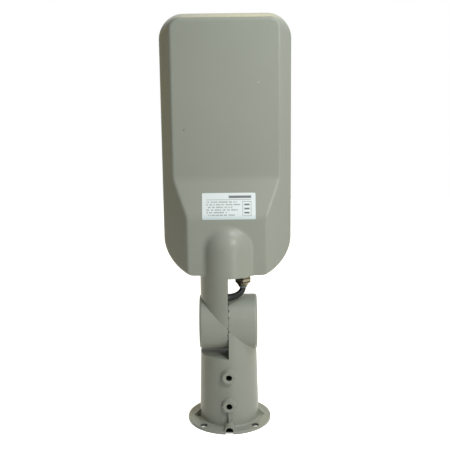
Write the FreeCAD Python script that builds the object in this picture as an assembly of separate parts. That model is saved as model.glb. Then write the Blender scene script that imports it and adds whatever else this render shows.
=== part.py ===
import FreeCAD, Part
import math
import os

from FreeCAD import Vector

# Millimetres. The origin is the centre of the foot's underside, on the pole's axis. +Z runs up the
# pole, the roof faces -Y and the lit side faces +Y. The tilt axis runs along X through the knuckle.

# Pole and foot flange
pole_r = 30.0
pole_clearance = 1.0
tube_wall = 5.0
socket_depth = 74.0
flange_land = 14.5
flange_t = 3.3
flange_round = 1.0
foot_round = 1.6
bolt_circle_r = 43.8
bolt_hole_r = 4.5
bolt_hole_count = 4
bolt_hole_start = 45.0

# Clamp screw bosses in the front of the tube
boss_heights = (31.5, 68.5)
boss_base_r = 9.2
boss_face_r = 7.3
boss_proud = 5.5
clamp_thread_r = 3.4
clamp_mouth_r = 4.2

# Gussets, front rib and the cable notch through the foot
gusset_t = 2.4
gusset_reach = 7.6
gusset_rise = 10.5
gusset_toe = 0.2
front_rib_t = 2.0
front_rib_reach = 4.2
notch_half_width = 4.6
notch_height = 8.6
notch_wall = 1.4

# Knuckle
hinge_z = 125.5
drum_r = 33.0
drum_wall = 5.0
drum_half_width = 34.4
drum_end_wall = 4.5
drum_round = 3.2
roof_gap = 3.5
roof_t = 4.0
half_gap = 0.3
merge = 0.5
neck_inset = 0.12
tooth_count = 24
tooth_depth = 2.5
tooth_gap = 0.3
crest_flat = 0.25
ring_depth = 6.0

# Knuckle bolt, M10
bolt_r = 5.0
bolt_clearance = 0.5
hex_across = 16.0
bolt_head_t = 6.4
nut_t = 8.0
washer_r = 10.0
washer_t = 2.0
spring_washer_r = 8.6
spring_washer_t = 2.5
spring_washer_split = 1.2
washer_clearance = 0.05
pocket_wall = 4.0
pocket_floor_t = 4.0
counterbore_clearance = 1.2
seat_gap = 0.1
bolt_sunk = 0.8

# Housing outside
neck_length = 63.5
head_length = 300.0
head_half_width = 75.5
corner_top_r = 28.0
corner_low_r = 38.0
panel_corner_r = 10.0
lit_y = 30.0
rim_depth = 15.0
upper_rise = 15.5
lower_rise = 34.5
bevel_run = 0.83
top_setback = 2.0
band_low = 71.0
band_high = 112.5
crease_round = 24.0
edge_round = 5.0
end_round = 2.0
hump_center_above_end = 31.5
hump_flare_r = 9.0
hump_seat = 2.0
neck_back_relief = 3.6

# Housing inside
casting_wall = 3.3
end_wall_t = 9.0
bay_wall = 5.0
driver_bay_length = 72.0
cover_rim_wall = 5.5
cover_land = 12.0
bay_corner_step = 13.0
small_corner_r = 1.0
driver_land_y = 20.0
lens_frame_width = 8.0
lens_frame_rise = 4.0
lens_side_gap = 1.65
lens_frame_margin = 6.0
lens_frame_corner_r = 18.0

# LED side
pad_t = 0.5
board_t = 1.6
board_clearance = 1.0
led_size = 3.4
led_t = 0.7
gasket_t = 1.0
gasket_width = 2.0
lens_plate_t = 2.5
lens_r = 8.0
lens_rise = 5.0
lens_columns = 4
lens_rows = 7
small_screw_r = 1.5
small_head_r = 2.8
small_head_top_r = 2.0
small_slot_half = 0.35
small_head_t = 1.8
small_screw_length = 9.0
small_hole_r = 1.6
screw_margin = 0.4

# Driver bay
cover_t = 2.5
cover_margin = 1.0
driver_side_room = 42.5
driver_width = 40.0
driver_t = 26.0
driver_lift = 1.0
driver_center_x = 0.0
driver_ear = 7.0
driver_ear_t = 2.0
driver_corner_r = 2.0
terminal_width = 26.0
terminal_length = 12.5
terminal_t = 12.0
terminal_ways = 3
terminal_hole_r = 2.0

# Cable gland and supply lead
gland_x = 17.8
gland_y = -8.0
gland_thread_r = 6.0
gland_thread_clearance = 0.1
gland_thread_length = 8.0
gland_across = 18.0
gland_o_ring_t = 1.3
gland_body_t = 4.5
gland_nut_t = 4.4
gland_dome_t = 5.5
gland_seal_t = 1.5
gland_mouth_r = 5.4
gland_mouth_lip = 0.8
gland_chamfer = 0.8
gland_turn = 30.0
cable_r = 3.6
cable_clearance = 0.1
bend_share = 0.45
core_count = 3
core_r = 1.1
core_length = 8.0
core_spread = 1.5
core_tip_r = 0.7
core_tip_length = 2.5

# Rating label film on the sloped band, bent over the crease below it
label_width = 62.0
label_t = 0.25
label_x = 2.2
label_low = 68.6
label_high = 97.4

# Places worked out from the sizes above
socket_r = pole_r + pole_clearance
foot_r = socket_r + tube_wall
flange_r = foot_r + flange_land
chamber_r = drum_r - drum_wall
roof_z = hinge_z - drum_r - roof_gap
neck_r = drum_r - neck_inset
neck_hollow_r = chamber_r - neck_inset
rim_y = lit_y - rim_depth
upper_y = rim_y - upper_rise
lower_y = rim_y - lower_rise
end_z = hinge_z + neck_length
top_z = end_z + head_length
band_low_z = end_z + band_low
band_high_z = end_z + band_high
hump_center_z = end_z + hump_center_above_end
bay_low_z = end_z + end_wall_t
bay_high_z = bay_low_z + driver_bay_length
led_bay_z = bay_high_z + bay_wall
crease_turn = math.atan((upper_y - lower_y) / (band_high_z - band_low_z))
crease_run = crease_round * math.tan(crease_turn / 2)
bay_floor_y = lower_y + casting_wall
driver_seat_y = bay_floor_y + driver_lift
driver_high_z = band_low_z - crease_run
led_floor_y = upper_y + casting_wall
lens_frame_y = led_floor_y + lens_frame_rise
lens_low_z = led_bay_z + lens_frame_margin
lens_high_z = top_z - top_setback - casting_wall - lens_frame_margin
bevel_depth = rim_y + casting_wall - lens_frame_y
lens_frame_half_width = head_half_width - casting_wall - bevel_run * bevel_depth - lens_side_gap
lens_pitch_x = 2 * (lens_frame_half_width - lens_frame_width) / lens_columns
lens_pitch_z = (lens_high_z - lens_low_z - 2 * lens_frame_width) / lens_rows
cover_recess_half_width = head_half_width - cover_rim_wall
driver_bay_half_width = cover_recess_half_width - cover_land
driver_length = 2 * (head_half_width - driver_side_room)
bay_corner_r = corner_low_r - bay_corner_step
drum_hollow_x = drum_half_width - drum_end_wall
counterbore_r = hex_across / math.sqrt(3) + counterbore_clearance
head_floor_x = drum_half_width - bolt_sunk - bolt_head_t - spring_washer_t - washer_t - seat_gap
nut_floor_x = drum_half_width - bolt_sunk - nut_t - washer_t - seat_gap
thread_hole_r = gland_thread_r + gland_thread_clearance
far = 2 * (top_z + flange_r)

# Route of the supply lead, from the terminal block through the gland, into the half neck, across
# the knuckle inside the toothed rings and down behind the roof of the foot. The head carries the
# lead as far as it crosses the parting plane X = 0 below the split height, and the foot the rest.
lead_route = [
    Vector(17.8, -8.0, 200.5),
    Vector(17.8, -8.0, 166.9),
    Vector(10.2, -14.2, 162.9),
    Vector(0.2, -21.8, 163.2),
    Vector(-8.2, -22.0, 160.3),
    Vector(-13.7, -19.0, 152.8),
    Vector(-15.2, -18.4, 142.5),
    Vector(-14.8, -19.0, 131.5),
    Vector(-8.0, -20.0, 119.5),
    Vector(6.0, -19.0, 111.0),
    Vector(15.0, -15.5, 103.0),
    Vector(18.0, -11.5, 94.0),
    Vector(18.0, -9.0, 86.0),
]
lead_split_z = 140.0


def box(x0, x1, y0, y1, z0, z1):
    """Box between two corners."""
    return Part.makeBox(x1 - x0, y1 - y0, z1 - z0, Vector(x0, y0, z0))


def rod(radius, start, end):
    """Cylinder from one point to another."""
    return Part.makeCylinder(radius, (end - start).Length, start, end - start)


def taper(radius_start, radius_end, start, end):
    """Cone from one point to another."""
    return Part.makeCone(radius_start, radius_end, (end - start).Length, start, end - start)


def ring(outer_r, inner_r, start, end):
    """Cylinder with a hole along it."""
    return rod(outer_r, start, end).cut(rod(inner_r, start, end))


def prism(points, sweep):
    """Straight-sided solid on a flat polygon."""
    return Part.Face(Part.makePolygon(points + [points[0]])).extrude(sweep)


def hexagon(across, start, end, turn=0.0):
    """Hexagonal bar from one point to another, with a corner at the turn angle."""
    axis = end - start
    length = axis.Length
    corner_r = across / math.sqrt(3)
    corners = []
    for step in range(6):
        angle = math.radians(turn + 60 * step)
        corners.append(Vector(corner_r * math.cos(angle), corner_r * math.sin(angle), 0))
    bar = prism(corners, Vector(0, 0, length))
    bar.Placement = FreeCAD.Placement(start, FreeCAD.Rotation(Vector(0, 0, 1), axis))
    return bar


def sharp_edges(shape, wanted):
    """Edges between faces that meet at an angle and that the wanted test accepts."""
    found = []
    for edge in shape.Edges:
        if not wanted(edge.BoundBox):
            continue
        faces = shape.ancestorsOfType(edge, Part.Face)
        if len(faces) != 2:
            continue
        middle = edge.valueAt((edge.FirstParameter + edge.LastParameter) / 2)
        normals = []
        for face in faces:
            u, v = face.Surface.parameter(middle)
            normals.append(face.normalAt(u, v))
        if normals[0].getAngle(normals[1]) > math.radians(4):
            found.append(edge)
    return found


def rounded_wire(half_width, low_z, high_z, low_r, high_r, y):
    """Rectangle facing Y with rounded corners, or square low corners if low_r is 0."""
    bulge = 1 - math.sqrt(0.5)

    def point(x, z):
        return Vector(x, y, z)

    def line(a, b):
        return Part.LineSegment(a, b).toShape()

    def arc(a, b, c):
        return Part.Arc(a, b, c).toShape()

    edges = []
    edges.append(line(point(-half_width + low_r, low_z), point(half_width - low_r, low_z)))
    if low_r:
        edges.append(arc(point(half_width - low_r, low_z),
                         point(half_width - bulge * low_r, low_z + bulge * low_r),
                         point(half_width, low_z + low_r)))
    edges.append(line(point(half_width, low_z + low_r), point(half_width, high_z - high_r)))
    edges.append(arc(point(half_width, high_z - high_r),
                     point(half_width - bulge * high_r, high_z - bulge * high_r),
                     point(half_width - high_r, high_z)))
    edges.append(line(point(half_width - high_r, high_z), point(-half_width + high_r, high_z)))
    edges.append(arc(point(-half_width + high_r, high_z),
                     point(-half_width + bulge * high_r, high_z - bulge * high_r),
                     point(-half_width, high_z - high_r)))
    edges.append(line(point(-half_width, high_z - high_r), point(-half_width, low_z + low_r)))
    if low_r:
        edges.append(arc(point(-half_width, low_z + low_r),
                         point(-half_width + bulge * low_r, low_z + bulge * low_r),
                         point(-half_width + low_r, low_z)))
    return Part.Wire(edges)


def rounded_plate(half_width, low_z, high_z, low_r, high_r, y0, y1):
    """Plate between two Y planes with a rounded outline."""
    wire = rounded_wire(half_width, low_z, high_z, low_r, high_r, y0)
    return Part.Face(wire).extrude(Vector(0, y1 - y0, 0))


def rounded_polygon(points, radii):
    """Closed flat outline with a rounding of its own at each corner, or none where it is 0."""
    edges = []
    starts = []
    ends = []
    for index, corner in enumerate(points):
        back = (points[index - 1] - corner).normalize()
        ahead = (points[(index + 1) % len(points)] - corner).normalize()
        half_angle = back.getAngle(ahead) / 2
        radius = radii[index]
        trim = radius / math.tan(half_angle)
        starts.append(corner + back * trim)
        ends.append(corner + ahead * trim)
        if radius:
            inward = (back + ahead).normalize()
            middle = corner + inward * (radius / math.sin(half_angle) - radius)
            edges.append(Part.Arc(starts[index], middle, ends[index]).toShape())
    for index in range(len(points)):
        after = (index + 1) % len(points)
        edges.append(Part.LineSegment(ends[index], starts[after]).toShape())
    return Part.Face(Part.Wire(Part.__sortEdges__(edges)))


def crown_start_z():
    """Height above which the roof's form is the crown with its rounded top corners."""
    return band_high_z + (top_z - band_high_z) / 2


def roof_prism(inset):
    """Roof's side profile with its rounded creases, swept across, or the same moved inward."""
    rim = rim_y + inset
    upper = upper_y + inset
    lower = lower_y + inset
    crown_z = crown_start_z()
    points = [Vector(-far, rim, 0), Vector(-far, lower, 0), Vector(-far, lower, band_low_z),
              Vector(-far, upper, band_high_z), Vector(-far, upper, crown_z), Vector(-far, rim, crown_z)]
    radii = [0, 0, crease_round - inset, crease_round + inset, 0, 0]
    return rounded_polygon(points, radii).extrude(Vector(2 * far, 0, 0))


def head_form(inset):
    """Head's outside with its panels, band and bevels, or the same form moved inward."""
    width = head_half_width - inset
    high_z = top_z - inset
    rim = rim_y + inset
    upper = upper_y + inset
    lower = lower_y + inset
    top_r = corner_top_r - inset
    low_r = corner_low_r - inset
    crown_z = crown_start_z()

    slab = rounded_plate(width, end_z + inset, high_z, low_r, top_r, rim, lit_y)
    limit = rounded_plate(width, end_z + inset, high_z, low_r, top_r, lower, rim)
    rim_wire = rounded_wire(width, crown_z, high_z, 0, top_r, rim)
    panel_half = width - bevel_run * (rim - upper)
    panel_wire = rounded_wire(panel_half, crown_z, high_z - top_setback, 0, panel_corner_r, upper)
    crown = Part.makeLoft([rim_wire, panel_wire], True, True)

    narrow = width - bevel_run * (rim - lower)
    bevels = prism([Vector(-width, rim, 0), Vector(-narrow, lower, 0), Vector(narrow, lower, 0),
                    Vector(width, rim, 0)], Vector(0, 0, crown_z))
    roof = crown.fuse(roof_prism(inset).common(bevels)).common(limit)
    return roof.fuse(slab).removeSplitter().Solids[0]


def head_outside():
    """Head form with its roof edges rounded."""
    form = head_form(0)
    roof_edges = sharp_edges(form, lambda b: b.YMax < rim_y + 0.01 and b.ZMin > end_z + 0.01)
    form = form.makeFillet(edge_round, roof_edges)
    low_edges = sharp_edges(form, lambda b: b.YMax < lower_y + edge_round and b.ZMax < end_z + 0.01)
    return form.makeFillet(end_round, low_edges)


def tooth_block(side):
    """Space beyond one toothed face. Its facets all run to the tilt axis, as radial teeth do.

    side is -1 for the face on the head, which lies at X below 0, and 1 for the face on the foot.
    """
    reach_r = 2 * drum_r
    half_depth = tooth_depth / 2 * reach_r / drum_r
    depth = 2 * tooth_depth
    start_x = side * tooth_gap / 2
    apex = Vector(start_x, 0, hinge_z)
    rim_points = []
    for step in range(2 * tooth_count):
        angle = math.pi * (step + 0.5) / tooth_count
        lift = half_depth if step % 2 == 0 else -half_depth
        rim_points.append(Vector(start_x + lift, reach_r * math.cos(angle),
                                 hinge_z + reach_r * math.sin(angle)))
    far_x = -side * (half_depth + depth)
    far_points = [Vector(far_x, p.y, p.z) for p in rim_points]
    faces = []
    for index in range(len(rim_points)):
        after = (index + 1) % len(rim_points)
        a, b = rim_points[index], rim_points[after]
        faces.append(Part.Face(Part.makePolygon([apex, a, b, apex])))
        faces.append(Part.Face(Part.makePolygon([a, b, far_points[after], far_points[index], a])))
    faces.append(Part.Face(Part.makePolygon(far_points + [far_points[0]])))
    block = Part.makeSolid(Part.makeShell(faces))
    if block.Volume < 0:
        block.reverse()
    crest_x = side * (tooth_gap / 2 - tooth_depth / 2 + crest_flat)
    axis_far = Vector(far_x, 0, hinge_z)
    block = block.fuse(rod(reach_r, Vector(crest_x, 0, hinge_z), axis_far))
    return block.common(rod(drum_r + half_gap, Vector(-far_x, 0, hinge_z), axis_far))


def drum(side):
    """Outside of one knuckle drum, with its outer edge rounded."""
    body = rod(drum_r, Vector(0, 0, hinge_z), Vector(side * drum_half_width, 0, hinge_z))
    outer = [e for e in body.Edges
             if abs(e.BoundBox.XMin - side * drum_half_width) < 0.01
             and abs(e.BoundBox.XMax - side * drum_half_width) < 0.01]
    return body.makeFillet(drum_round, outer)


def tooth_ring(side):
    """Plain ring on which the teeth of one drum are cut."""
    return ring(drum_r, drum_r - drum_wall, Vector(0, 0, hinge_z),
                Vector(side * ring_depth, 0, hinge_z))


def drum_hollow(side):
    """Space inside one drum, from the parting plane to its end wall."""
    return rod(chamber_r, Vector(-side, 0, hinge_z), Vector(side * drum_hollow_x, 0, hinge_z))


def bolt_boss(side, floor_x, inner_r):
    """Boss round the bolt seat on a drum's end wall."""
    return rod(inner_r + pocket_wall, Vector(side * (floor_x - pocket_floor_t), 0, hinge_z),
               Vector(side * (drum_hollow_x + merge), 0, hinge_z))


def adapter_outside():
    """Flange, drafted tube, half neck, drum, screw bosses, gussets and notch arch."""
    flange = rod(flange_r, Vector(0, 0, 0), Vector(0, 0, flange_t))
    rim_edge = [e for e in flange.Edges if e.BoundBox.ZMin > flange_t - 0.01]
    flange = flange.makeFillet(flange_round, rim_edge)
    tube = taper(foot_r, neck_r, Vector(0, 0, 0), Vector(0, 0, hinge_z))
    below_roof = box(-far, far, -far, far, 0, roof_z)
    right_half = box(half_gap, far, -far, far, 0, hinge_z)
    tube = tube.common(below_roof.fuse(right_half))
    body = flange.fuse(tube)
    corner = sharp_edges(body, lambda b: abs(b.ZMin - flange_t) < 0.01 and abs(b.ZMax - flange_t) < 0.01
                         and b.XMax < foot_r + 0.1)
    body = body.makeFillet(foot_round, corner)
    body = body.fuse(drum(1))
    for height in boss_heights:
        body = body.fuse(taper(boss_base_r, boss_face_r, Vector(0, -socket_r - tube_wall / 2, height),
                               Vector(0, -foot_r - boss_proud, height)))
    gusset = prism([Vector(socket_r + tube_wall / 2, -gusset_t / 2, flange_t / 2),
                    Vector(foot_r + gusset_reach, -gusset_t / 2, flange_t / 2),
                    Vector(foot_r + gusset_reach, -gusset_t / 2, flange_t + gusset_toe),
                    Vector(socket_r + tube_wall / 2, -gusset_t / 2, flange_t + gusset_rise)],
                   Vector(0, gusset_t, 0))
    for angle in (0, 90, 180):
        turned = gusset.copy()
        turned.rotate(Vector(0, 0, 0), Vector(0, 0, 1), angle)
        body = body.fuse(turned)
    body = body.fuse(box(-front_rib_t / 2, front_rib_t / 2, -foot_r - front_rib_reach, -socket_r - 1,
                         flange_t, boss_heights[0]))
    return body.fuse(notch_prism(notch_wall, -socket_r - tube_wall / 2).common(
        rod(flange_r, Vector(0, 0, 0), Vector(0, 0, hinge_z)))).removeSplitter()


def notch_prism(wall, inner_y):
    """Arched passage along Y at the foot's front, or the arch over it with a wall."""
    half = notch_half_width + wall
    height = notch_height + wall
    outer_y = -flange_r - 1
    legs = box(-half, half, outer_y, inner_y, 0 if wall else -1, height - half)
    crown = rod(half, Vector(0, outer_y, height - half), Vector(0, inner_y, height - half))
    return legs.fuse(crown.common(box(-far, far, -far, far, 0, far)))


def pole_adapter():
    """One casting: pole socket and foot with the right half of the knuckle."""
    body = adapter_outside()
    chamber_z = roof_z - roof_t
    hollow = rod(socket_r, Vector(0, 0, -1), Vector(0, 0, socket_depth))
    hollow = hollow.fuse(rod(chamber_r, Vector(0, 0, socket_depth - 1), Vector(0, 0, chamber_z)))
    neck = rod(neck_hollow_r, Vector(0, 0, chamber_z - 1), Vector(0, 0, hinge_z))
    hollow = hollow.fuse(neck.common(box(half_gap, far, -far, far, 0, hinge_z)))
    hollow = hollow.fuse(drum_hollow(1))
    body = body.cut(hollow).fuse(tooth_ring(1))
    nut_corner_r = hex_across / math.sqrt(3)
    body = body.fuse(bolt_boss(1, nut_floor_x, nut_corner_r))
    body = body.cut(hexagon(hex_across + 2 * half_gap, Vector(nut_floor_x, 0, hinge_z),
                            Vector(drum_half_width + 1, 0, hinge_z)))
    body = body.cut(rod(bolt_r + bolt_clearance, Vector(0, 0, hinge_z),
                        Vector(drum_half_width, 0, hinge_z)))
    body = body.cut(tooth_block(1))
    face_y = -foot_r - boss_proud
    for height in boss_heights:
        body = body.cut(rod(clamp_thread_r, Vector(0, face_y - 1, height), Vector(0, 0, height)))
        body = body.cut(taper(clamp_mouth_r, clamp_thread_r, Vector(0, face_y, height),
                              Vector(0, face_y + clamp_mouth_r - clamp_thread_r, height)))
    body = body.cut(notch_prism(0, 0))
    for index in range(bolt_hole_count):
        angle = math.radians(bolt_hole_start + 360 / bolt_hole_count * index)
        place = Vector(bolt_circle_r * math.cos(angle), bolt_circle_r * math.sin(angle), -1)
        body = body.cut(rod(bolt_hole_r, place, place + Vector(0, 0, flange_t + 2)))
    return body.removeSplitter()


def half_neck():
    """Outside of the head's half-round neck, relieved at the back to meet the lit side."""
    neck = rod(neck_r, Vector(0, 0, hinge_z), Vector(0, 0, end_z + end_wall_t / 2))
    neck = neck.common(box(-far, -half_gap, -far, far, 0, far))
    low_z = hinge_z + drum_r / 2
    relief = prism([Vector(-far, drum_r, low_z), Vector(-far, drum_r - neck_back_relief, end_z),
                    Vector(-far, drum_r - neck_back_relief, far), Vector(-far, far, far),
                    Vector(-far, far, low_z)], Vector(2 * far, 0, 0))
    return neck.cut(relief)


def capsule(radius, low_z):
    """Vertical cylinder with a round top, for the space where the neck runs up into the roof."""
    stem = rod(radius, Vector(0, 0, low_z), Vector(0, 0, hump_center_z))
    return stem.fuse(Part.makeSphere(radius, Vector(0, 0, hump_center_z)))


def hump():
    """Hump over the neck's run into the roof, flared out to the lower panel."""
    reach = neck_r + hump_flare_r
    flare_y = lower_y - hump_flare_r
    flare_x = math.sqrt(reach ** 2 - flare_y ** 2)
    share = neck_r / reach
    base_y = lower_y + hump_seat

    def at(x, y):
        return Vector(x, y, hump_center_z)

    touch = at(flare_x * share, flare_y * share)
    crown_angle = math.atan2(touch.x, -touch.y) / 2
    crown_middle = at(neck_r * math.sin(crown_angle), -neck_r * math.cos(crown_angle))
    center = at(flare_x, flare_y)
    inward = (touch - center).normalize() + Vector(0, 1, 0)
    flare_middle = center + inward.normalize() * hump_flare_r
    edges = [Part.Arc(at(0, -neck_r), crown_middle, touch).toShape(),
             Part.Arc(touch, flare_middle, at(flare_x, lower_y)).toShape(),
             Part.LineSegment(at(flare_x, lower_y), at(flare_x, base_y)).toShape(),
             Part.LineSegment(at(flare_x, base_y), at(0, base_y)).toShape(),
             Part.LineSegment(at(0, base_y), at(0, -neck_r)).toShape()]
    half = Part.Face(Part.Wire(edges))
    crown = half.revolve(Vector(0, 0, hump_center_z), Vector(0, -1, 0), 180)
    right = half.extrude(Vector(0, 0, end_z - hump_center_z))
    left = right.mirror(Vector(0, 0, 0), Vector(1, 0, 0))
    return crown.fuse(right).fuse(left).removeSplitter()


def bay_spaces():
    """Spaces cut out of the head from the lit side, one after another."""
    inner = head_form(casting_wall)
    low = rounded_plate(driver_bay_half_width, bay_low_z, bay_high_z, bay_corner_r, small_corner_r,
                        lower_y, lit_y + 1)
    low = low.common(inner)
    neck = capsule(neck_r - casting_wall, bay_low_z)
    neck = neck.common(box(-far, far, -far, rim_y, bay_low_z, bay_high_z))
    recess = rounded_plate(cover_recess_half_width, end_z + casting_wall, bay_high_z + bay_wall / 2,
                           corner_low_r - casting_wall, small_corner_r, driver_land_y, lit_y + 1)
    high = inner.common(box(-far, far, -far, far, led_bay_z, far))
    return [low, neck, recess, high]


def lens_frame():
    """Raised land round the LED board that carries the gasket and the lens screws."""
    outer = rounded_plate(lens_frame_half_width, lens_low_z, lens_high_z, lens_frame_corner_r,
                          lens_frame_corner_r, led_floor_y - merge, lens_frame_y)
    inner_r = lens_frame_corner_r - lens_frame_width
    inner = rounded_plate(lens_frame_half_width - lens_frame_width, lens_low_z + lens_frame_width,
                          lens_high_z - lens_frame_width, inner_r, inner_r,
                          led_floor_y - 1, lens_frame_y + 1)
    return outer.cut(inner)


def lens_screw_places():
    """Screw centres round the lens plate, as X and Z."""
    side_x = lens_frame_half_width - lens_frame_width / 3
    low_z = lens_low_z + lens_frame_corner_r
    high_z = lens_high_z - lens_frame_corner_r
    places = []
    for share in (0, 1 / 3, 2 / 3, 1):
        height = low_z + share * (high_z - low_z)
        places.append((-side_x, height))
        places.append((side_x, height))
    places.append((0, lens_low_z + lens_frame_width / 3))
    places.append((0, lens_high_z - lens_frame_width / 3))
    return places


def cover_screw_places():
    """Screw centres round the driver cover, as X and Z."""
    side_x = (driver_bay_half_width + cover_recess_half_width - cover_margin) / 2
    high_z = bay_high_z - bay_wall
    low_z = end_z + corner_low_r
    reach = (bay_corner_r + gasket_width + small_hole_r + screw_margin) * math.sqrt(0.5)
    corner_x = driver_bay_half_width - bay_corner_r + reach
    corner_z = bay_low_z + bay_corner_r - reach
    return [(-side_x, high_z), (side_x, high_z), (-side_x, low_z), (side_x, low_z),
            (-corner_x, corner_z), (corner_x, corner_z)]


def driver_screw_places():
    """Screw centres in the driver's two ears, as X and Z."""
    reach = driver_length / 2 + driver_ear / 2
    height = driver_high_z - driver_width / 2
    return [(driver_center_x - reach, height), (driver_center_x + reach, height)]


def small_hole(place, top_y, length):
    """Hole for one small screw that enters from the lit side."""
    x, z = place
    return rod(small_hole_r, Vector(x, top_y - length, z), Vector(x, top_y + 1, z))


def small_screw(place, seat_y, length):
    """Pan-head screw whose head seats at seat_y on the lit side."""
    x, z = place
    shank = rod(small_screw_r, Vector(x, seat_y - length, z), Vector(x, seat_y, z))
    head = taper(small_head_r, small_head_top_r, Vector(x, seat_y, z),
                 Vector(x, seat_y + small_head_t, z))
    slot = box(x - small_head_r, x + small_head_r, seat_y + small_head_t / 2, seat_y + small_head_t,
               z - small_slot_half, z + small_slot_half)
    return shank.fuse(head).cut(slot)


def housing():
    """One casting: roof, rim, hump, half neck and the left half of the knuckle."""
    body = head_outside().fuse(hump())
    body = body.fuse(half_neck()).fuse(drum(-1)).removeSplitter()
    for space in bay_spaces():
        body = body.cut(space)
    body = body.fuse(lens_frame())
    neck = rod(neck_hollow_r, Vector(0, 0, hinge_z), Vector(0, 0, end_z))
    body = body.cut(neck.common(box(-far, 0, -far, far, 0, far)))
    body = body.cut(drum_hollow(-1)).fuse(tooth_ring(-1))
    body = body.fuse(bolt_boss(-1, head_floor_x, counterbore_r))
    body = body.cut(rod(counterbore_r, Vector(-head_floor_x, 0, hinge_z),
                        Vector(-drum_half_width - 1, 0, hinge_z)))
    body = body.cut(rod(bolt_r + bolt_clearance, Vector(0, 0, hinge_z),
                        Vector(-drum_half_width, 0, hinge_z)))
    body = body.cut(tooth_block(-1))
    body = body.cut(rod(thread_hole_r, Vector(gland_x, gland_y, end_z - 1),
                        Vector(gland_x, gland_y, bay_low_z + 1)))
    for place in lens_screw_places():
        body = body.cut(small_hole(place, lens_frame_y, lens_frame_rise + 1))
    for place in cover_screw_places():
        body = body.cut(small_hole(place, driver_land_y, small_screw_length))
    for place in driver_screw_places():
        pillar = rod(small_head_r + 1, Vector(place[0], bay_floor_y - merge, place[1]),
                     Vector(place[0], driver_seat_y, place[1]))
        body = body.fuse(pillar)
    return body


def knuckle_parts():
    """Bolt, washers and nut that clamp the two toothed faces."""
    axis = Vector(0, 0, hinge_z)
    floor_x = -head_floor_x
    flat_end = floor_x - washer_t - seat_gap
    spring_end = flat_end - spring_washer_t
    head_end = spring_end - bolt_head_t
    nut_start = nut_floor_x + seat_gap
    nut_end = nut_start + nut_t + washer_t
    shank = rod(bolt_r, axis + Vector(spring_end, 0, 0), axis + Vector(nut_end, 0, 0))
    head = hexagon(hex_across, axis + Vector(head_end, 0, 0), axis + Vector(spring_end, 0, 0))
    hole_r = bolt_r + washer_clearance
    flat = ring(washer_r, hole_r, axis + Vector(flat_end, 0, 0), axis + Vector(floor_x - seat_gap, 0, 0))
    spring = ring(spring_washer_r, hole_r, axis + Vector(spring_end, 0, 0), axis + Vector(flat_end, 0, 0))
    split = box(spring_end - 1, flat_end + 1, -spring_washer_split / 2, spring_washer_split / 2,
                hinge_z, hinge_z + washer_r)
    nut = hexagon(hex_across, axis + Vector(nut_start, 0, 0), axis + Vector(nut_start + nut_t, 0, 0))
    nut = nut.cut(rod(hole_r, axis + Vector(nut_start - 1, 0, 0), axis + Vector(nut_end + 1, 0, 0)))
    return {
        "knuckle_bolt": shank.fuse(head),
        "knuckle_washer": flat,
        "knuckle_spring_washer": spring.cut(split),
        "knuckle_nut": nut,
    }


def chamfered_hexagon(start, end):
    """Hexagonal part of the gland with both its ends turned down at the corners."""
    axis = (end - start).normalize()
    corner_r = gland_across / math.sqrt(3)
    small_r = corner_r - gland_chamfer
    low = start + axis * gland_chamfer
    high = end - axis * gland_chamfer
    turned = taper(small_r, corner_r, start, low).fuse(rod(corner_r, low, high))
    turned = turned.fuse(taper(corner_r, small_r, high, end))
    return hexagon(gland_across, start, end, gland_turn).common(turned)


def gland_parts():
    """Cable gland in the head's lower end wall, from its O-ring down to its rubber seal."""

    def at(z):
        return Vector(gland_x, gland_y, z)

    bore_r = cable_r + cable_clearance
    ring_end = end_z - gland_o_ring_t
    body_end = ring_end - gland_body_t
    nut_end = body_end - gland_nut_t
    dome_end = nut_end - gland_dome_t
    seal_end = dome_end - gland_seal_t
    seal_r = gland_mouth_r - gland_mouth_lip
    body = chamfered_hexagon(at(body_end), at(ring_end))
    body = body.fuse(rod(gland_thread_r, at(ring_end), at(end_z + gland_thread_length)))
    body = body.cut(rod(bore_r, at(body_end - 1), at(end_z + gland_thread_length + 1)))
    nut = chamfered_hexagon(at(nut_end), at(body_end))
    dome_base_r = gland_across / 2 - gland_chamfer / 2
    nut = nut.fuse(taper(dome_base_r, gland_mouth_r, at(nut_end), at(dome_end)))
    nut = nut.cut(rod(seal_r, at(dome_end - 1), at(nut_end)))
    nut = nut.cut(rod(bore_r, at(nut_end - 1), at(body_end + 1)))
    seal = ring(seal_r, cable_r, at(seal_end), at(nut_end))
    o_ring = ring(gland_across / 2, thread_hole_r, at(ring_end), at(end_z))
    return {"gland_body": body, "gland_dome_nut": nut, "gland_seal": seal, "gland_o_ring": o_ring}


def lead_tube():
    """Supply lead as straight runs joined by tangent arcs. Prints each arc's radius."""
    edges = []
    start = lead_route[0]
    for before, corner, after in zip(lead_route, lead_route[1:], lead_route[2:]):
        into = corner - before
        out_of = after - corner
        half_turn = into.getAngle(out_of) / 2
        trim = bend_share * min(into.Length, out_of.Length)
        radius = trim / math.tan(half_turn)
        into.normalize()
        out_of.normalize()
        first = corner - into * trim
        last = corner + out_of * trim
        center_way = out_of - into
        center_way.normalize()
        center = corner + center_way * (radius / math.cos(half_turn))
        middle = center - center_way * radius
        edges.append(Part.LineSegment(start, first).toShape())
        edges.append(Part.Arc(first, middle, last).toShape())
        start = last
        print("lead arc radius", round(radius, 1))
    edges.append(Part.LineSegment(start, lead_route[-1]).toShape())
    path = Part.Wire(edges)
    heading = lead_route[1] - lead_route[0]
    profile = Part.Wire([Part.Circle(lead_route[0], heading, cable_r).toShape()])
    tube = path.makePipeShell([profile], True, False)
    print("lead length", round(path.Length, 1), "volume", round(tube.Volume),
          "section times length", round(math.pi * cable_r ** 2 * path.Length))
    return tube


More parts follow.
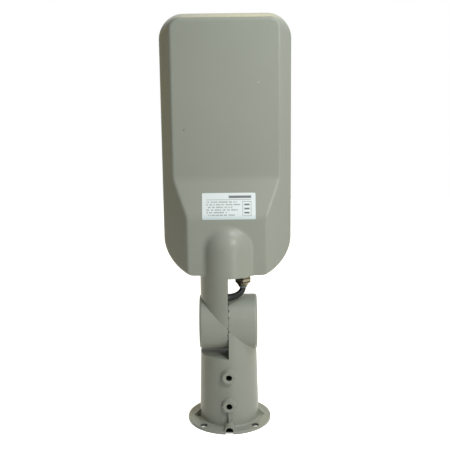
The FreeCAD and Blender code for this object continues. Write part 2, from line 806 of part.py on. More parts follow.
def lead_parts():
    """Supply lead, split at the parting plane, and its three stripped cores."""
    tube = lead_tube()
    foot_side = box(0, far, -far, far, 0, lead_split_z)
    end = lead_route[-1]
    heading = end - lead_route[-2]
    heading.normalize()
    across = heading.cross(Vector(1, 0, 0))
    across.normalize()
    cores = []
    tips = []
    for index in range(core_count):
        way = FreeCAD.Rotation(heading, 360 / core_count * index).multVec(across)
        root = end + way * core_spread
        tip = root + heading * core_length
        cores.append(rod(core_r, root, tip))
        tips.append(rod(core_tip_r, tip, tip + heading * core_tip_length))
    return {
        "supply_lead_head": tube.cut(foot_side),
        "supply_lead_foot": tube.common(foot_side),
        "supply_cores": Part.makeCompound(cores),
        "supply_core_tips": Part.makeCompound(tips),
    }


def led_parts():
    """Thermal pad, LED board, LEDs, gasket, lens plate and their screws, from the floor outward."""
    half = lens_frame_half_width - lens_frame_width - board_clearance
    low_z = lens_low_z + lens_frame_width + board_clearance
    high_z = lens_high_z - lens_frame_width - board_clearance
    corner_r = lens_frame_corner_r - lens_frame_width - board_clearance
    board_y = led_floor_y + pad_t
    led_y = board_y + board_t
    plate_y = lens_frame_y + gasket_t
    plate_top = plate_y + lens_plate_t
    pad = rounded_plate(half, low_z, high_z, corner_r, corner_r, led_floor_y, board_y)
    board = rounded_plate(half, low_z, high_z, corner_r, corner_r, board_y, led_y)
    middle_z = (lens_low_z + lens_high_z) / 2
    leds = []
    plate = rounded_plate(lens_frame_half_width, lens_low_z, lens_high_z, lens_frame_corner_r,
                          lens_frame_corner_r, plate_y, plate_top)
    ball_r = (lens_r ** 2 + lens_rise ** 2) / (2 * lens_rise)
    for column in range(lens_columns):
        for row in range(lens_rows):
            x = (column - (lens_columns - 1) / 2) * lens_pitch_x
            z = middle_z + (row - (lens_rows - 1) / 2) * lens_pitch_z
            leds.append(box(x - led_size / 2, x + led_size / 2, led_y, led_y + led_t,
                            z - led_size / 2, z + led_size / 2))
            ball = Part.makeSphere(ball_r, Vector(x, plate_top + lens_rise - ball_r, z),
                                   Vector(0, 1, 0))
            dome = ball.common(box(x - ball_r, x + ball_r, plate_top - merge, plate_top + ball_r,
                                   z - ball_r, z + ball_r))
            plate = plate.fuse(dome)
    for place in lens_screw_places():
        plate = plate.cut(small_hole(place, plate_top, lens_plate_t + 1))
    gasket_half = lens_frame_half_width - lens_frame_width + gasket_width
    gasket_low = lens_low_z + lens_frame_width - gasket_width
    gasket_high = lens_high_z - lens_frame_width + gasket_width
    outer_r = lens_frame_corner_r - lens_frame_width + gasket_width
    inner_r = lens_frame_corner_r - lens_frame_width
    gasket = rounded_plate(gasket_half, gasket_low, gasket_high, outer_r, outer_r, lens_frame_y, plate_y)
    gasket = gasket.cut(rounded_plate(gasket_half - gasket_width, gasket_low + gasket_width,
                                      gasket_high - gasket_width, inner_r, inner_r,
                                      lens_frame_y - 1, plate_y + 1))
    reach = plate_top - lens_frame_y + lens_frame_rise
    return {
        "thermal_pad": pad,
        "led_board": board,
        "leds": Part.makeCompound(leds),
        "lens_gasket": gasket,
        "lens_plate": plate.removeSplitter(),
        "lens_screws": Part.makeCompound([small_screw(p, plate_top, reach) for p in lens_screw_places()]),
    }


def driver_parts():
    """LED driver, terminal block, cover, cover gasket and their screws."""
    seat_y = driver_seat_y
    high_z = driver_high_z
    low_z = high_z - driver_width
    left = driver_center_x - driver_length / 2
    right = driver_center_x + driver_length / 2
    middle_z = (low_z + high_z) / 2
    driver = box(left, right, seat_y, seat_y + driver_t, low_z, high_z)
    driver = driver.makeFillet(driver_corner_r, [e for e in driver.Edges if e.BoundBox.YLength > driver_t - 0.1])
    driver = driver.fuse(box(left - driver_ear, right + driver_ear, seat_y, seat_y + driver_ear_t,
                             middle_z - driver_ear, middle_z + driver_ear))
    for place in driver_screw_places():
        driver = driver.cut(small_hole(place, seat_y + driver_ear_t, driver_ear_t + 1))
    block_z = lead_route[0].z
    block = box(gland_x - terminal_width / 2, gland_x + terminal_width / 2, gland_y - terminal_t / 2,
                gland_y + terminal_t / 2, block_z, block_z + terminal_length)
    for way in range(terminal_ways):
        x = gland_x + (way - (terminal_ways - 1) / 2) * terminal_width / terminal_ways
        block = block.cut(rod(terminal_hole_r, Vector(x, gland_y, block_z + terminal_length / 2),
                              Vector(x, gland_y + terminal_t, block_z + terminal_length / 2)))
    cover_half = cover_recess_half_width - cover_margin
    cover_low = end_z + casting_wall + cover_margin
    cover_high = bay_high_z + bay_wall / 2 - cover_margin
    low_r = corner_low_r - casting_wall - cover_margin
    plate_y = driver_land_y + gasket_t
    cover = rounded_plate(cover_half, cover_low, cover_high, low_r, small_corner_r,
                          plate_y, plate_y + cover_t)
    gasket = rounded_plate(driver_bay_half_width + gasket_width, bay_low_z - gasket_width,
                           bay_high_z + gasket_width / 2, bay_corner_r + gasket_width,
                           small_corner_r, driver_land_y, plate_y)
    gasket = gasket.cut(rounded_plate(driver_bay_half_width, bay_low_z, bay_high_z, bay_corner_r,
                                      small_corner_r, driver_land_y - 1, plate_y + 1))
    for place in cover_screw_places():
        cover = cover.cut(small_hole(place, plate_y + cover_t, cover_t + 1))
    cover_screws = [small_screw(p, plate_y + cover_t, small_screw_length) for p in cover_screw_places()]
    driver_screws = [small_screw(p, seat_y + driver_ear_t, driver_ear_t) for p in driver_screw_places()]
    return {
        "led_driver": driver,
        "driver_screws": Part.makeCompound(driver_screws),
        "terminal_block": block,
        "driver_cover": cover,
        "driver_cover_gasket": gasket,
        "driver_cover_screws": Part.makeCompound(cover_screws),
    }


def rating_label():
    """Bare film on the sloped band, bent over the crease below it."""
    film = roof_prism(-label_t).cut(roof_prism(0))
    half = label_width / 2
    return film.common(box(label_x - half, label_x + half, -far, rim_y,
                           end_z + label_low, end_z + label_high))


def main():
    """Build every piece and write one STEP file for each."""
    os.makedirs("parts", exist_ok=True)
    pieces = {"pole_adapter": pole_adapter(), "housing": housing(), "rating_label": rating_label()}
    for group in (knuckle_parts(), gland_parts(), lead_parts(), led_parts(), driver_parts()):
        pieces.update(group)
    for name, shape in pieces.items():
        solids = shape.Solids
        print(name, len(solids), "valid" if shape.isValid() else "NOT VALID", round(shape.Volume))
        if len(solids) == 1:
            shape = solids[0]
        shape.exportStep(f"parts/{name}.step")


main()
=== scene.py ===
import math

import bmesh
import bpy
from mathutils import Matrix, Vector


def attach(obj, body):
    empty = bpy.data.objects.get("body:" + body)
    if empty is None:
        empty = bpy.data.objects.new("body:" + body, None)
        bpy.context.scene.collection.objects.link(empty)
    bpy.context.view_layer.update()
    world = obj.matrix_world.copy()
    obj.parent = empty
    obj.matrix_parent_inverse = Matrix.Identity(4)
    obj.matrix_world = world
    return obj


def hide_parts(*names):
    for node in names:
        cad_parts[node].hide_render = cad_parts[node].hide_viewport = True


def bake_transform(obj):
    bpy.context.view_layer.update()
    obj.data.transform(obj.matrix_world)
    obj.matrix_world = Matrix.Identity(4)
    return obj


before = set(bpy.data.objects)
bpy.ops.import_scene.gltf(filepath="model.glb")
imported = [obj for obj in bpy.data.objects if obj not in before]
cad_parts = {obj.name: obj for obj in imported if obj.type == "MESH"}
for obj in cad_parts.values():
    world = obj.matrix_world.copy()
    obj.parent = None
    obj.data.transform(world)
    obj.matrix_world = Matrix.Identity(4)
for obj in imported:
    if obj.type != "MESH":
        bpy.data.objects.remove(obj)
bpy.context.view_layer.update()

# Lengths are metres in the CAD frame: +Z up the pole, -Y the roof side, +Y the lit side.
MM = 0.001

# Camera, fitted to the photograph's outline
camera_place = Vector((8.77, -1231.96, 587.43)) * MM
camera_pitch = math.radians(15.5)
camera_yaw = math.radians(-0.53)
camera_roll = math.radians(-0.76)
camera_reach = 50.0
focal_pixels = 1085.79
image_pixels = 450
sensor_width = 36.0

# Lamps, aimed at the middle of the head: the place, size, power and colour of each
aim_point = Vector((0, 0, 260)) * MM
lamps = {
    "back": (Vector((0.2, 0.8, 1.2)), 0.60, 4.9, (1.0, 0.87, 0.38)),
    "top": (Vector((0.6, -0.3, 1.1)), 0.50, 3.6, (1.0, 0.88, 0.90)),
    "over": (Vector((0.0, -0.25, 1.3)), 0.50, 0.4, (1.0, 0.60, 0.45)),
    "key": (Vector((0.25, -0.30, 0.95)), 0.20, 2.1, (0.82, 1.0, 1.0)),
    "near": (Vector((0.24, -0.45, 0.48)), 0.15, 1.4, (1.0, 1.0, 0.97)),
    "low": (Vector((0.24, -0.45, 0.12)), 0.15, 0.45, (1.0, 1.0, 0.9)),
    "left": (Vector((-0.8, 0.35, 0.35)), 0.50, 0.7, (1.0, 0.85, 0.2)),
}
world_light = 0.02

# Floor: seen as white, with a painted shadow in an oval under the foot, black in its middle
floor_half = 1.1
floor_glow = 0.93
floor_color = (0.8, 0.8, 0.8)
floor_roughness = 0.9
floor_painted_shadow_r = 43.0 * MM
floor_white_r = 50.0 * MM
floor_squeeze = (1.2, 1.0, 1.0)

# Supply lead: part.py's route points, with one more on its first run near the gland's mouth
lead_route_mm = [
    (17.8, -8.0, 200.5),
    (17.8, -8.0, 176.5),
    (17.8, -8.0, 166.9),
    (10.2, -14.2, 162.9),
    (0.2, -21.8, 163.2),
    (-8.2, -22.0, 160.3),
    (-13.7, -19.0, 152.8),
    (-15.2, -18.4, 142.5),
    (-14.8, -19.0, 131.5),
    (-8.0, -20.0, 119.5),
    (6.0, -19.0, 111.0),
    (15.0, -15.5, 103.0),
    (18.0, -11.5, 94.0),
    (18.0, -9.0, 86.0),
]
lead_r = 3.6 * MM
lead_steps = 12
lead_sides = 32

# Stripped cores at the lead's end in the foot: the end's middle, the way towards the earth core, and
# how far along it that core begins and its yellow stripe lies off the middle
core_root = Vector((18.0, -9.0, 86.0)) * MM
core_way = Vector((0, -0.9545, -0.2983))
core_gap = 0.375 * MM
core_stripe_x = core_root.x + 0.2 * MM

# Powder coat: its colour, the two ends of its tone, and two specks on the upper panel
paint_color = (0.285, 0.30, 0.26)
paint_tones = ((0.276, 0.291, 0.252), (0.291, 0.306, 0.266))
paint_roughness = 0.36
specks = [(Vector((-48.5, -0.5, 359.8)) * MM, 0.75 * MM, (0.10, 0.10, 0.085)),
          (Vector((37.8, -0.5, 414.0)) * MM, 0.6 * MM, (0.60, 0.60, 0.55))]

# Pole adapter's openings, with painted shade, near black, inside them
socket_r = 31.0 * MM
socket_top = 76.0 * MM
socket_edge = 0.3 * MM
boss_heights = (31.5 * MM, 68.5 * MM)
boss_hole_r = 3.5 * MM
bolt_hole_place = Vector((30.97, 30.97, 0)) * MM
bolt_hole_r = 4.55 * MM
flange_top = 3.2 * MM
notch_r = 4.65 * MM
notch_center = 4.0 * MM
front_y = -socket_r / 2

# Heights of the joints on the cable gland, and how far the painted shade along them reaches
gland_joints = (188.7 * MM, 184.2 * MM, 179.8 * MM)
gland_shade_near = 0.3 * MM
gland_shade_far = 1.3 * MM

# LEDs on the board: their pitch, the place of the first, its phosphor, and the tracks and pads
led_pitch = Vector((26.52, 0, 25.82)) * MM
led_first = Vector((-39.78, 0, 301.9)) * MM
led_half = 2.0 * MM
phosphor_r = 1.25 * MM
track_inner, track_outer = 0.6 * MM, 2.6 * MM
pad_inner, pad_outer = 2.5 * MM, 3.1 * MM

# Rating label, bent over the roof's lower crease. Its ends are measured up the roof from the place
# where the crease's rounding goes over into the flat band
label_half_width = 31.0 * MM
label_x = 2.2 * MM
label_t = 0.25 * MM
label_low = -7.47 * MM
label_high = 23.8 * MM
label_corner_r = 1.3 * MM
label_corner_steps = 6
label_middle_steps = 28
crease_r = 24.0 * MM
band_low = Vector((0, -19.5, 260.0)) * MM
band_high = Vector((0, -0.5, 301.5)) * MM

# Printed places on the label, in millimetres: left, right, bottom and top of each, from the label's
# middle in X and from the floor in Z
label_rows = [(-26.0, 9.0, 276.0, 277.3), (-26.0, 13.0, 273.2, 274.5), (-26.0, 4.0, 270.4, 271.7),
              (-26.0, 11.0, 267.6, 268.9), (-26.0, -2.0, 264.8, 266.1), (-26.0, 7.0, 262.0, 263.3)]
label_bars = [(0.0, 26.0, 280.9, 283.6), (-26.0, 26.0, 279.0, 279.4)]
label_frame = (16.0, 26.0, 261.6, 277.4)
label_frame_line = 0.45
label_frame_bars = [(18.0, 24.0, 273.0, 274.8), (18.0, 24.0, 268.6, 270.4), (18.0, 24.0, 264.2, 266.0)]

# The small rows are broken into words by a noise, which starts anew on each row, and into blocks
row_pitch = 2.8 * MM
word_scale = 420.0
word_shift = 7.3
word_gap = 0.42
block_pitch = 1.15 * MM
block_share = 0.72

# Heights between which the label's film goes over from its painted shade, lower down where it bends over
# the crease, to its lit tone
film_shade_low = 257.6 * MM
film_shade_high = 264.0 * MM

# Values that most of a noise lies between
noise_low = 0.3
noise_high = 0.7


class Wire:
    """A shader socket that takes part in Python arithmetic."""

    def __init__(self, nodes, socket):
        self.nodes = nodes
        self.socket = socket

    def math(self, operation, *others):
        return self.nodes.node("ShaderNodeMath", {"operation": operation}, [self, *others])

    def __add__(self, other):
        return self.math("ADD", other)

    __radd__ = __add__

    def __mul__(self, other):
        return self.math("MULTIPLY", other)

    __rmul__ = __mul__

    def __sub__(self, other):
        return self.math("SUBTRACT", other)

    def __rsub__(self, other):
        return self.nodes.node("ShaderNodeMath", {"operation": "SUBTRACT"}, [other, self])

    def __truediv__(self, other):
        return self.math("DIVIDE", other)

    def __rtruediv__(self, other):
        return self.nodes.node("ShaderNodeMath", {"operation": "DIVIDE"}, [other, self])

    def __gt__(self, other):
        return self.math("GREATER_THAN", other)

    def __lt__(self, other):
        return self.math("LESS_THAN", other)

    def __abs__(self):
        return self.math("ABSOLUTE")

    def most(self, other):
        return self.math("MAXIMUM", other)


class Nodes:
    """The nodes of one tree."""

    def __init__(self, tree):
        self.tree = tree

    def join(self, socket, value):
        """Links a socket to a wire, or sets it to a plain value."""
        if isinstance(value, Wire):
            self.tree.links.new(value.socket, socket)
        elif isinstance(value, (tuple, list)) and len(value) == 3 and len(socket.default_value) == 4:
            socket.default_value = (*value, 1.0)
        else:
            socket.default_value = value

    def node(self, kind, settings=None, inputs=(), output=0):
        """Any node, its settings first, then the values or links of its sockets."""
        made = self.tree.nodes.new(kind)
        for key, value in (settings or {}).items():
            setattr(made, key, value)
        pairs = inputs.items() if isinstance(inputs, dict) else enumerate(inputs)
        for key, value in pairs:
            self.join(made.inputs[key], value)
        return Wire(self, made.outputs[output])

    def vector(self, operation, *inputs):
        output = "Value" if operation in ("DISTANCE", "DOT_PRODUCT", "LENGTH") else "Vector"
        return self.node("ShaderNodeVectorMath", {"operation": operation}, inputs, output)

    def spread(self, value, low, high, to_low=0.0, to_high=1.0):
        """A value taken from one range to another, and kept inside it."""
        inputs = {"Value": value, "From Min": low, "From Max": high, "To Min": to_low, "To Max": to_high}
        return self.node("ShaderNodeMapRange", inputs=inputs)

    def mix(self, share, first, second):
        """The first colour where share is 0, and the second where it is 1."""
        return self.node("ShaderNodeMix", {"data_type": "RGBA"}, {0: share, 6: first, 7: second}, 2)

    def highest(self, values):
        """The highest of some values."""
        found, *others = values
        for value in others:
            found = found.most(value)
        return found

    def seen_directly(self):
        """1 for light that reaches the camera straight, or by gloss or glass."""
        rays = ("Is Camera Ray", "Is Glossy Ray", "Is Transmission Ray")
        return self.highest([self.node("ShaderNodeLightPath", output=ray) for ray in rays])


class Finish(Nodes):
    """One material, built from nodes."""

    def __init__(self, name, color, roughness, metallic=0.0, **constants):
        self.material = bpy.data.materials.new(name)
        self.material.use_nodes = True
        super().__init__(self.material.node_tree)
        self.shader = self.tree.nodes["Principled BSDF"]
        self.set("Base Color", color)
        self.set("Roughness", roughness)
        self.set("Metallic", metallic)
        for key, value in constants.items():
            self.set(key.replace("_", " ").title().replace("Ior", "IOR"), value)

    def set(self, name, value):
        self.join(self.shader.inputs[name], value)

    def vary_roughness(self, noise, low, high):
        self.set("Roughness", self.spread(noise, noise_low, noise_high, low, high))

    def bump(self, height, strength, distance):
        inputs = {"Strength": strength, "Distance": distance, "Height": height}
        self.set("Normal", self.node("ShaderNodeBump", inputs=inputs))

    def place(self):
        return self.node("ShaderNodeTexCoord", output="Object")

    def axis(self, name):
        return self.node("ShaderNodeSeparateXYZ", inputs=[self.place()], output=name)

    def noise(self, scale, detail=2.0):
        inputs = {"Vector": self.place(), "Scale": scale, "Detail": detail}
        return self.node("ShaderNodeTexNoise", inputs=inputs, output="Fac")

    def from_axis(self, point, keep):
        """Distance from a line through a point, where keep is 0 along the line and 1 across it."""
        flat = self.vector("MULTIPLY", self.vector("SUBTRACT", self.place(), point), keep)
        return self.vector("LENGTH", flat)

    def within(self, value, low, high):
        return (value > low) * (value < high)


def darker(color, share):
    return [channel * share for channel in color]


def powder_coat(name):
    """Grey-green powder coat on die-cast aluminium, with its orange peel and its grain."""
    cloud_scale = 9.0
    peel_scale = 420.0
    grain_scale = 1500.0
    peel_share = 0.7
    peel_strength = 0.3
    peel_depth = 0.05 * MM
    finish = Finish(name, paint_color, paint_roughness, specular_ior_level=0.28,
                    coat_weight=0.06, coat_roughness=0.25)
    cloud = finish.noise(cloud_scale)
    peel = finish.noise(peel_scale)
    grain = finish.noise(grain_scale)
    tone = finish.mix(finish.spread(cloud, noise_low, noise_high), *paint_tones)
    for place, radius, color in specks:
        tone = finish.mix(finish.vector("DISTANCE", finish.place(), place) < radius, tone, color)
    finish.vary_roughness(grain, paint_roughness - 0.04, paint_roughness + 0.04)
    finish.bump(peel * peel_share + grain * (1 - peel_share), peel_strength, peel_depth)
    finish.set("Base Color", tone)
    return finish, tone


def foot_coat():
    """The same powder coat, with painted shade, near black, inside the foot's openings, and darker
    painted shade on the walls of the flange's bolt holes.
    """
    opening_shade_color = (0.012, 0.012, 0.011)
    opening_roughness = 0.9
    bolt_hole_shade_color = (0.07, 0.075, 0.06)
    finish, tone = powder_coat("foot_powder_coat")
    x, y, z = (finish.axis(name) for name in "XYZ")
    front = y < front_y
    inside = (finish.from_axis((0, 0, 0), (1, 1, 0)) < socket_r + socket_edge) * (z < socket_top)
    for height in boss_heights:
        hole = finish.from_axis((0, 0, height), (1, 0, 1)) < boss_hole_r
        inside = inside.most(hole * front)
    notch = finish.from_axis((0, 0, notch_center), (1, 0, 1)) < notch_r
    notch = notch.most((abs(x) < notch_r) * (z < notch_center))
    inside = inside.most(notch * front)
    corner = finish.node("ShaderNodeCombineXYZ", inputs=[abs(x), abs(y), 0.0], output="Vector")
    bolt_hole = finish.vector("DISTANCE", corner, bolt_hole_place) < bolt_hole_r
    # Painted shade on the walls of the flange's bolt holes
    tone = finish.mix(bolt_hole * (z < flange_top), tone, bolt_hole_shade_color)
    # Painted shade: near black inside the socket, the boss holes and the notch
    finish.set("Base Color", finish.mix(inside, tone, opening_shade_color))
    finish.set("Roughness", finish.spread(inside, 0.0, 1.0, paint_roughness, opening_roughness))
    return finish.material


def metal(name, color, roughness):
    """Plain metal with fine turning or plating marks."""
    mark_scale = 400.0
    mark_detail = 4.0
    finish = Finish(name, color, roughness, 1.0)
    mark = finish.noise(mark_scale, mark_detail)
    finish.vary_roughness(mark, roughness - 0.06, roughness + 0.08)
    finish.set("Base Color", finish.mix(mark, darker(color, 0.86), color))
    return finish.material


def plated_brass():
    """Dull plated brass, stained in spots, with painted shade along the joints between the gland's nuts.
    """
    clean = (0.27, 0.25, 0.18)
    stain_and_shade_color = (0.02, 0.017, 0.012)
    joint_shade = 0.9
    spot_stain = 0.8
    finish = Finish("dull_plated_brass", (0.30, 0.28, 0.21), 0.3, 1.0)
    z = finish.axis("Z")
    spots = finish.noise(260.0, 4.0)
    # Painted shade: darker along the joints, in the grooves between the nuts
    joints = [finish.spread(abs(z - height), gland_shade_near, gland_shade_far, 1.0, 0.0)
              for height in gland_joints]
    spot = finish.spread(spots, 0.50, 0.72, 0.0, spot_stain)
    stain_and_shade = (finish.highest(joints) * joint_shade).most(spot)
    finish.set("Base Color", finish.mix(stain_and_shade, clean, stain_and_shade_color))
    finish.vary_roughness(spots, 0.24, 0.40)
    return finish.material


def soft_plastic(name, color, roughness, **constants):
    """Rubber or plastic with a fine moulded grain."""
    grain_scale = 500.0
    grain_detail = 3.0
    grain_strength = 0.3
    grain_depth = 0.04 * MM
    finish = Finish(name, color, roughness, **constants)
    grain = finish.noise(grain_scale, grain_detail)
    finish.set("Base Color", finish.mix(grain, darker(color, 0.82), color))
    finish.vary_roughness(grain, roughness - 0.05, roughness + 0.07)
    finish.bump(grain, grain_strength, grain_depth)
    return finish.material


def clear_plastic():
    """Clear moulded lens plastic."""
    finish = Finish("lens_plastic", (0.93, 0.95, 0.95), 0.06, transmission_weight=0.92, ior=1.49)
    finish.vary_roughness(finish.noise(60.0, 3.0), 0.04, 0.09)
    return finish.material


def label_patch(finish, box):
    """1 inside a printed place on the label."""
    left, right, low, high = box
    across = finish.within(finish.axis("X"), label_x + left * MM, label_x + right * MM)
    return across * finish.within(finish.axis("Z"), low * MM, high * MM)


def label_words(finish):
    """1 where a small row has a block of print."""
    x = finish.axis("X")
    row = (finish.axis("Z") / row_pitch).math("ROUND")
    words = finish.node("ShaderNodeTexNoise", {"noise_dimensions": "1D"},
                        {"W": x * word_scale + row * word_shift, "Scale": 1.0, "Detail": 0.0}, "Fac")
    blocks = (x / block_pitch).math("FRACT") < block_share
    rows = finish.highest([label_patch(finish, row) for row in label_rows])
    return rows * (words > word_gap) * blocks


def label_print():
    """Cool white film with plain grey bars, blocks and a frame where print would be."""
    film_painted_shade = (0.55, 0.66, 0.68)
    film_light = (0.70, 0.75, 0.76)
    small_ink = (0.08, 0.09, 0.09)
    bold_ink = (0.05, 0.055, 0.055)
    finish = Finish("label_film", (0.62, 0.66, 0.64), 0.4)
    left, right, low, high = label_frame
    edge = label_frame_line
    inner = (left + edge, right - edge, low + edge, high - edge)
    outline = label_patch(finish, label_frame) - label_patch(finish, inner)
    bars = finish.highest([label_patch(finish, bar) for bar in label_bars + label_frame_bars])
    # Painted shade: the film darker and bluer towards its lower end
    shade = finish.spread(finish.axis("Z"), film_shade_low, film_shade_high)
    tone = finish.mix(shade, film_painted_shade, film_light)
    tone = finish.mix(label_words(finish) * 0.8, tone, small_ink)
    tone = finish.mix(bars.most(outline) * 0.85, tone, bold_ink)
    finish.set("Base Color", tone)
    finish.vary_roughness(finish.noise(300.0), 0.34, 0.44)
    return finish.material


def core_jackets():
    """Brown, blue and green-yellow cores, told apart by their place round the lead's end."""
    brown = (0.10, 0.04, 0.015)
    blue = (0.03, 0.10, 0.32)
    yellow = (0.55, 0.50, 0.03)
    green = (0.04, 0.22, 0.05)
    finish = Finish("core_jackets", (0.12, 0.045, 0.02), 0.45)
    offset = finish.vector("SUBTRACT", finish.place(), core_root)
    front = finish.vector("DOT_PRODUCT", offset, core_way) > core_gap
    pair = finish.mix(finish.axis("X") > core_root.x, brown, blue)
    earth = finish.mix(finish.axis("X") > core_stripe_x, yellow, green)
    finish.set("Base Color", finish.mix(front, pair, earth))
    finish.bump(finish.noise(700.0), 0.2, 0.02 * MM)
    return finish.material


def from_led(finish):
    """Distance from the middle of the nearest LED, and the offset in X from its column."""
    offset = finish.vector("SUBTRACT", finish.place(), led_first)
    steps = []
    for name, pitch in (("X", led_pitch.x), ("Z", led_pitch.z)):
        along = finish.node("ShaderNodeSeparateXYZ", inputs=[offset], output=name) / pitch
        steps.append((along - along.math("ROUND")) * pitch)
    column, row = steps
    spot = finish.node("ShaderNodeCombineXYZ", inputs=[column, 0.0, row], output="Vector")
    return finish.vector("LENGTH", spot), column


def led_packages():
    """White LED packages with a round yellow phosphor."""
    package = (0.80, 0.80, 0.76)
    phosphor = (0.85, 0.60, 0.10)
    finish = Finish("led_packages", package, 0.35)
    distance, _ = from_led(finish)
    finish.set("Base Color", finish.mix(distance < phosphor_r, package, phosphor))
    finish.set("Roughness", finish.spread(distance, 0.0, led_half, 0.25, 0.45))
    return finish.material


def board_mask():
    """White solder mask with the copper tracks showing through faintly and pads by the LEDs."""
    mask = (0.80, 0.80, 0.77)
    track = (0.70, 0.71, 0.66)
    pad = (0.66, 0.66, 0.62)
    finish = Finish("board_mask", (0.78, 0.78, 0.76), 0.35)
    distance, column = from_led(finish)
    tone = finish.mix(finish.within(abs(column), track_inner, track_outer), mask, track)
    tone = finish.mix(finish.within(distance, pad_inner, pad_outer), tone, pad)
    finish.set("Base Color", tone)
    finish.vary_roughness(finish.noise(300.0, 3.0), 0.30, 0.42)
    return finish.material


def floor_finish():
    """Pale floor that is seen as white, apart from an oval of painted shadow under the foot."""
    finish = Finish("studio_floor", floor_color, floor_roughness)
    squeezed = finish.vector("MULTIPLY", finish.place(), floor_squeeze)
    outside = finish.spread(finish.vector("LENGTH", squeezed), floor_painted_shadow_r, floor_white_r)
    # Painted shadow: black base colour and no glow inside the oval under the foot
    finish.set("Base Color", finish.mix(outside, (0, 0, 0), floor_color))
    finish.set("Emission Color", (1, 1, 1))
    finish.set("Emission Strength", outside * floor_glow * finish.seen_directly())
    return finish.material


def built_mesh(name, build):
    """Mesh of what was built."""
    mesh = bpy.data.meshes.new(name)
    build.to_mesh(mesh)
    build.free()
    return mesh


def make_piece(name, mesh, material):
    """Shows a mesh with its material."""
    piece = bpy.data.objects.new(name, mesh)
    bpy.context.scene.collection.objects.link(piece)
    piece.data.materials.append(material)
    return piece


def spline_points(name, points):
    """Points along the smooth line that the control points give."""
    curve = bpy.data.curves.new(name, "CURVE")
    curve.dimensions = "3D"
    curve.resolution_u = lead_steps
    spline = curve.splines.new("NURBS")
    spline.points.add(len(points) - 1)
    for place, point in zip(spline.points, points):
        place.co = (*(Vector(point) * MM), 1.0)
    spline.order_u = 3
    spline.use_endpoint_u = True
    holder = bpy.data.objects.new(name, curve)
    line = bpy.data.meshes.new_from_object(holder)
    found = [v.co.copy() for v in line.vertices]
    bpy.data.objects.remove(holder)
    bpy.data.meshes.remove(line)
    return found


def tube_mesh(name, line, radius, sides):
    """Closed tube round a line of points, without twist."""
    build = bmesh.new()
    heading = (line[1] - line[0]).normalized()
    side = heading.orthogonal().normalized()
    rings = []
    for index, point in enumerate(line):
        before = line[max(index - 1, 0)]
        after = line[min(index + 1, len(line) - 1)]
        turned = (after - before).normalized()
        side = heading.rotation_difference(turned) @ side
        heading = turned
        cross = heading.cross(side)
        ring = []
        for step in range(sides):
            angle = 2 * math.pi * step / sides
            outward = math.cos(angle) * side + math.sin(angle) * cross
            ring.append(build.verts.new(point + radius * outward))
        rings.append(ring)
    for low, high in zip(rings, rings[1:]):
        for step in range(sides):
            after = (step + 1) % sides
            build.faces.new((low[step], low[after], high[after], high[step]))
    for face in build.faces:
        face.smooth = True
    build.faces.new(list(reversed(rings[0])))
    build.faces.new(rings[-1])
    bmesh.ops.recalc_face_normals(build, faces=build.faces)
    return built_mesh(name, build)


def make_lead(material):
    """Supply lead from the terminal block through the gland and the knuckle into the foot."""
    line = spline_points("supply_lead_line", lead_route_mm)
    lead = make_piece("supply_lead", tube_mesh("supply_lead", line, lead_r, lead_sides), material)
    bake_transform(lead)
    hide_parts("supply_lead_head", "supply_lead_foot")


def roof_point(along, lift):
    """Point in the middle of the roof's lower crease or its band, raised off the surface."""
    slope = (band_high - band_low).normalized()
    turn = math.atan2(slope.y, slope.z)
    band_start = band_low + slope * crease_r * math.tan(turn / 2)
    outward = Vector((0, -slope.z, slope.y))
    if along >= 0:
        return band_start + slope * along + outward * lift
    center = band_start - outward * crease_r
    angle = turn + along / crease_r
    return center + Vector((0, -math.cos(angle), math.sin(angle))) * (crease_r + lift)


def label_stations():
    """Places along the label, close together round its corners, each with its half width."""
    stations = []
    for step in range(label_corner_steps + 1):
        angle = math.pi / 2 * step / label_corner_steps
        stations.append((label_low + label_corner_r * (1 - math.cos(angle)),
                         label_half_width - label_corner_r * (1 - math.sin(angle))))
    corner = list(stations)
    low = label_low + label_corner_r
    high = label_high - label_corner_r
    for step in range(1, label_middle_steps):
        stations.append((low + (high - low) * step / label_middle_steps, label_half_width))
    for along, half in reversed(corner):
        stations.append((label_high - (along - label_low), half))
    return stations


def make_label(material):
    """Thin film with rounded corners, bent over the crease at the foot of the band."""
    build = bmesh.new()
    rows = []
    for along, half in label_stations():
        row = []
        for side, lift in ((-1, 0), (-1, label_t), (1, label_t), (1, 0)):
            point = roof_point(along, lift)
            row.append(build.verts.new((label_x + side * half, point.y, point.z)))
        rows.append(row)
    for low, high in zip(rows, rows[1:]):
        for first, second in ((0, 1), (1, 2), (2, 3), (3, 0)):
            build.faces.new((low[first], low[second], high[second], high[first]))
    build.faces.new(rows[0])
    build.faces.new(list(reversed(rows[-1])))
    bmesh.ops.recalc_face_normals(build, faces=build.faces)
    label = make_piece("rating_label_film", built_mesh("rating_label_film", build), material)
    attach(label, "head")
    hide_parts("rating_label")


def set_camera():
    """Camera at the photograph's viewing angle."""
    yaw, pitch, roll = camera_yaw, camera_pitch, camera_roll
    forward = Vector((math.sin(yaw) * math.cos(pitch), math.cos(yaw) * math.cos(pitch), -math.sin(pitch)))
    level_right = Vector((math.cos(yaw), -math.sin(yaw), 0))
    level_up = level_right.cross(forward)
    right = level_right * math.cos(roll) + level_up * math.sin(roll)
    up = level_up * math.cos(roll) - level_right * math.sin(roll)
    turn = Matrix((right, up, -forward)).transposed()
    data = bpy.data.cameras.new("camera")
    data.sensor_width = sensor_width
    data.lens = focal_pixels / image_pixels * sensor_width
    data.clip_end = camera_reach
    camera = bpy.data.objects.new("camera", data)
    camera.matrix_world = Matrix.Translation(camera_place) @ turn.to_4x4()
    bpy.context.scene.collection.objects.link(camera)
    bpy.context.scene.camera = camera


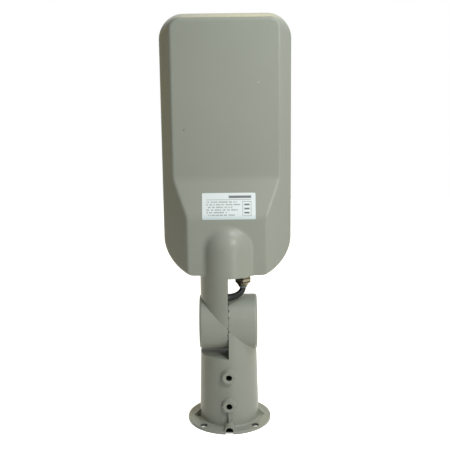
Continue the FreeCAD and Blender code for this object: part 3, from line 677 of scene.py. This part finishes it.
def add_lamp(name, place, size, power, color):
    """Square area lamp aimed at the head."""
    data = bpy.data.lights.new(name, "AREA")
    data.size = size
    data.energy = power
    data.color = color
    lamp = bpy.data.objects.new(name, data)
    lamp.location = place
    lamp.rotation_euler = (aim_point - place).to_track_quat("-Z", "Y").to_euler()
    bpy.context.scene.collection.objects.link(lamp)


def set_world():
    """World that lights the part softly and is seen as white."""
    world = bpy.data.worlds.new("studio")
    bpy.context.scene.world = world
    world.use_nodes = True
    nodes = Nodes(world.node_tree)
    background = nodes.tree.nodes["Background"]
    nodes.join(background.inputs["Color"], (1, 1, 1))
    strength = nodes.spread(nodes.seen_directly(), 0.0, 1.0, world_light, 1.0)
    nodes.join(background.inputs["Strength"], strength)


def set_floor():
    """Square floor that keeps the part's shadow."""
    build = bmesh.new()
    corners = [build.verts.new((x * floor_half, y * floor_half, 0)) for x, y in
               ((-1, -1), (1, -1), (1, 1), (-1, 1))]
    build.faces.new(corners)
    make_piece("floor", built_mesh("floor", build), floor_finish())


def dress(material, *nodes):
    """Gives CAD nodes that are shown as they are their finish."""
    for name in nodes:
        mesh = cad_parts[name].data
        mesh.materials.clear()
        mesh.materials.append(material)


bpy.context.scene.view_settings.view_transform = "Standard"
set_camera()
set_world()
set_floor()
for name, (place, size, power, color) in lamps.items():
    add_lamp(name, place, size, power, color)

paint = powder_coat("powder_coat")[0].material
foot_paint = foot_coat()
steel = metal("zinc_plated_steel", (0.55, 0.55, 0.54), 0.35)
gland_brass = plated_brass()
copper = metal("bare_copper", (0.75, 0.40, 0.26), 0.35)
rubber = soft_plastic("black_rubber", (0.02, 0.02, 0.022), 0.6)
seal_rubber = soft_plastic("grey_seal_rubber", (0.17, 0.22, 0.27), 0.6)
jacket = soft_plastic("lead_jacket", (0.006, 0.008, 0.009), 0.42, specular_ior_level=0.3)
gasket_foam = soft_plastic("gasket_foam", (0.04, 0.04, 0.042), 0.8)
pad_grey = soft_plastic("thermal_pad", (0.30, 0.32, 0.36), 0.7)
driver_case = soft_plastic("driver_case", (0.60, 0.61, 0.60), 0.4)
terminal_white = soft_plastic("terminal_plastic", (0.62, 0.60, 0.52), 0.5)

dress(paint, "housing", "driver_cover")
dress(foot_paint, "pole_adapter")
dress(steel, "knuckle_bolt", "knuckle_washer", "knuckle_spring_washer", "knuckle_nut",
      "lens_screws", "driver_screws", "driver_cover_screws")
dress(gland_brass, "gland_body", "gland_dome_nut")
dress(seal_rubber, "gland_seal")
dress(rubber, "gland_o_ring")
dress(core_jackets(), "supply_cores")
dress(copper, "supply_core_tips")
dress(pad_grey, "thermal_pad")
dress(board_mask(), "led_board")
dress(led_packages(), "leds")
dress(gasket_foam, "lens_gasket", "driver_cover_gasket")
dress(clear_plastic(), "lens_plate")
dress(driver_case, "led_driver")
dress(terminal_white, "terminal_block")

make_lead(jacket)
make_label(label_print())
